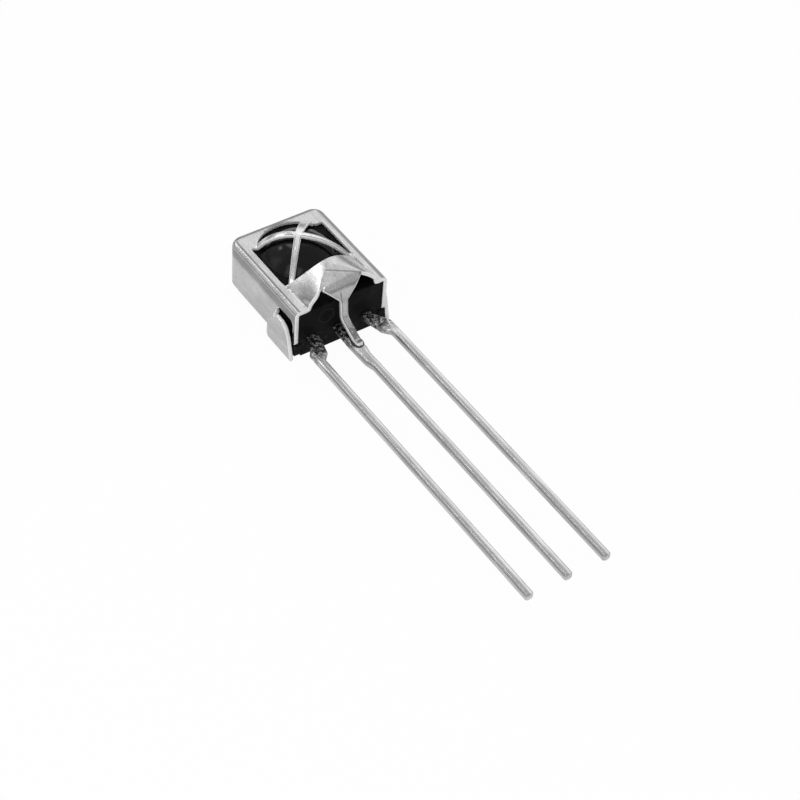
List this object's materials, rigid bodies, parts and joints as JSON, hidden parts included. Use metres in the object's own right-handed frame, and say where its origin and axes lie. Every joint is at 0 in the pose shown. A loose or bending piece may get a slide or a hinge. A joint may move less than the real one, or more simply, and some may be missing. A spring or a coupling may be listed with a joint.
{
  "type": "infrared receiver module",
  "caption": "Infrared remote-control receiver with a domed black lens in a pressed tinplate shield, with straight leads in a row for through-hole soldering.",
  "frame": {"origin": "on the flat moulded back that the module rests on, midway between its sides, at the front end that the leads leave", "axes": "+Z out of the lens side, away from the flat back; -Y along the leads; +X towards the supply lead"},
  "size_m": [0.007, 0.0292, 0.0049],
  "materials": {
    "tinplate": "satin tin plate over pressed steel",
    "dark_epoxy": "dark infrared-passing epoxy, polished on the lens",
    "tinned_lead": "satin tin plate",
    "solder": "dull solder",
    "die_attach": "silver-filled adhesive",
    "silicon": "polished silicon",
    "gold_wire": "bright drawn gold wire"
  },
  "bodies": {
    "root": {"tinplate_shield": "tinplate", "moulded_body": "dark_epoxy", "output_lead": "tinned_lead", "ground_lead": "tinned_lead", "supply_lead": "tinned_lead", "shield_solder_joint": "solder", "photodiode_attach_layer": "die_attach", "photodiode_chip": "silicon", "amplifier_attach_layer": "die_attach", "amplifier_chip": "silicon", "photodiode_bond_wire": "gold_wire", "ground_bond_wire": "gold_wire", "supply_bond_wire": "gold_wire", "output_bond_wire": "gold_wire"}
  },
  "joints": []
}
